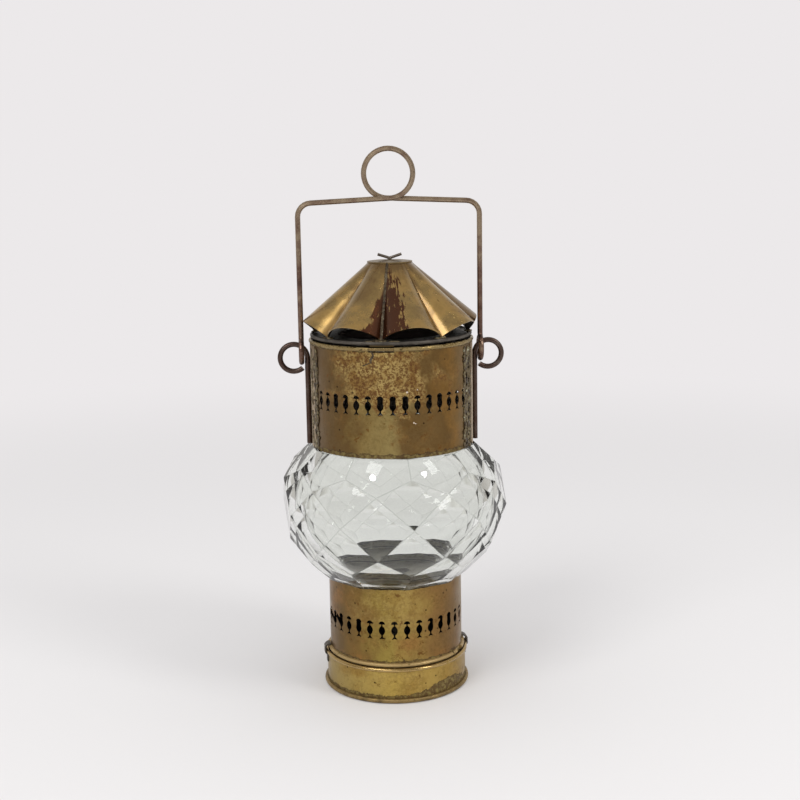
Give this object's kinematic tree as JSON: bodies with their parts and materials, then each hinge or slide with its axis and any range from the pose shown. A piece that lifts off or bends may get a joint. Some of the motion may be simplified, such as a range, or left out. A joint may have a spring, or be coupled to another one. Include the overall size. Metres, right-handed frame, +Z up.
{
  "type": "candle lantern",
  "caption": "Hanging candle lantern: diamond-cut glass globe between pierced brass cylinders, fluted cowl on a hinged lid, wire bail and twist-off base.",
  "frame": {"origin": "centre of the foot on its resting plane", "axes": "+Z up along the lantern's axis, +X from the left ear to the right ear, -Y towards the front with the lid hinge"},
  "size_m": [0.1796, 0.181, 0.431],
  "materials": {
    "brass_dark": "brown olive patina, dull",
    "brass_bright": "yellow brass with brown patches",
    "brass_cowl": "old lacquer, glossy with dark stains",
    "iron_wire": "rust brown, dull",
    "tinned_sheet": "grey tinned sheet, dull",
    "cement": "plaster",
    "glass": "clear cut glass"
  },
  "bodies": {
    "lantern": {"upper_cylinder": "brass_dark", "side_strap_left": "tinned_sheet", "side_strap_right": "tinned_sheet", "ear_left": "iron_wire", "ear_right": "iron_wire", "hinge_pin": "iron_wire", "upper_cement": "cement", "glass_globe": "glass", "lower_cement": "cement", "lower_tube": "brass_bright"},
    "base": {"base_ring": "brass_bright", "foot_wire": "tinned_sheet", "base_floor": "tinned_sheet", "claw_left": "tinned_sheet", "claw_right": "tinned_sheet", "candle_stem": "tinned_sheet", "candle_socket": "tinned_sheet", "candle_pan": "tinned_sheet"},
    "lid": {"lid_plate": "tinned_sheet", "lid_rim": "tinned_sheet", "hinge_leaf": "tinned_sheet", "cowl": "brass_cowl", "crown_cap": "brass_cowl", "crown_pin": "iron_wire"},
    "bail": {"bail": "iron_wire"}
  },
  "joints": [
    {"name": "bail_swing", "type": "hinge", "parent": "lantern", "child": "bail", "pos_m": [0, 0, 0.27275], "axis": [1, 0, 0], "range_deg": [-135, 135]},
    {"name": "lid_swing", "type": "hinge", "parent": "lantern", "child": "lid", "pos_m": [-0.01086, -0.06157, 0.28134], "axis": [0.9848, -0.1736, 0], "range_deg": [0, 47]},
    {"name": "base_twist", "type": "hinge", "parent": "lantern", "child": "base", "pos_m": [0, 0, 0], "axis": [0, 0, 1], "range_deg": [-30, 0]}
  ]
}
